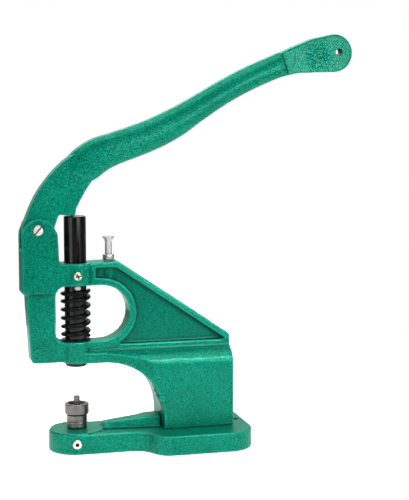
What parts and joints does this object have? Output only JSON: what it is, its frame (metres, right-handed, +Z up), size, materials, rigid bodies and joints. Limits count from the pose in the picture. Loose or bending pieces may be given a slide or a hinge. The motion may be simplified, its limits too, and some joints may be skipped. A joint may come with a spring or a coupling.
{
  "type": "snap setting press",
  "caption": "Bench hand press with a cast frame on a lobed base, a long lever that drives a sprung sliding ram down onto a lower setting die.",
  "frame": {"origin": "on the ram's axis, at the base plate's underside", "axes": "+Z up along the ram, +X to the rear where the lever's end is, Y across the press"},
  "size_m": [0.2952, 0.096, 0.3578],
  "materials": {
    "green_paint": "glossy hammertone enamel on cast iron",
    "black_steel": "black oxide",
    "bright_steel": "turned and polished",
    "zinc": "zinc plated",
    "bronze": "sintered bronze"
  },
  "bodies": {
    "frame": {"base_plate": "green_paint", "frame_casting": "green_paint", "base_bolt_front": "black_steel", "base_bolt_rear": "black_steel", "base_washer_front": "zinc", "base_washer_rear": "zinc", "lower_die": "bright_steel", "die_pilot_pin": "bright_steel", "die_set_screw": "zinc", "ram_guide_screw": "zinc", "stop_lock_nut": "zinc", "pivot_pin": "zinc", "pivot_washer": "zinc", "pivot_nut": "zinc", "spring_seat_washer": "black_steel", "return_spring": "black_steel"},
    "lever": {"lever": "green_paint", "lever_bush": "bronze"},
    "ram": {"ram": "black_steel", "spring_cross_key": "zinc"},
    "stop_screw": {"stop_screw": "zinc"}
  },
  "joints": [
    {"name": "lever_pivot", "type": "hinge", "parent": "frame", "child": "lever", "pos_m": [-0.033, 0, 0.1923], "axis": [0, 1, 0], "range_deg": [0, 34]},
    {"name": "ram_slide", "type": "slide", "parent": "frame", "child": "ram", "axis": [0, 0, -1], "range_m": [0, 0.02006], "stiffness_N_per_m": 5000, "springref_m": -0.015, "deforming": ["return_spring"]},
    {"name": "stop_screw_height", "type": "slide", "parent": "frame", "child": "stop_screw", "axis": [0, 0, 1], "range_m": [-0.01, 0.002]}
  ],
  "couplings": [
    {"joint": "ram_slide", "follows": "lever_pivot", "m_per_rad": 0.0338}
  ]
}
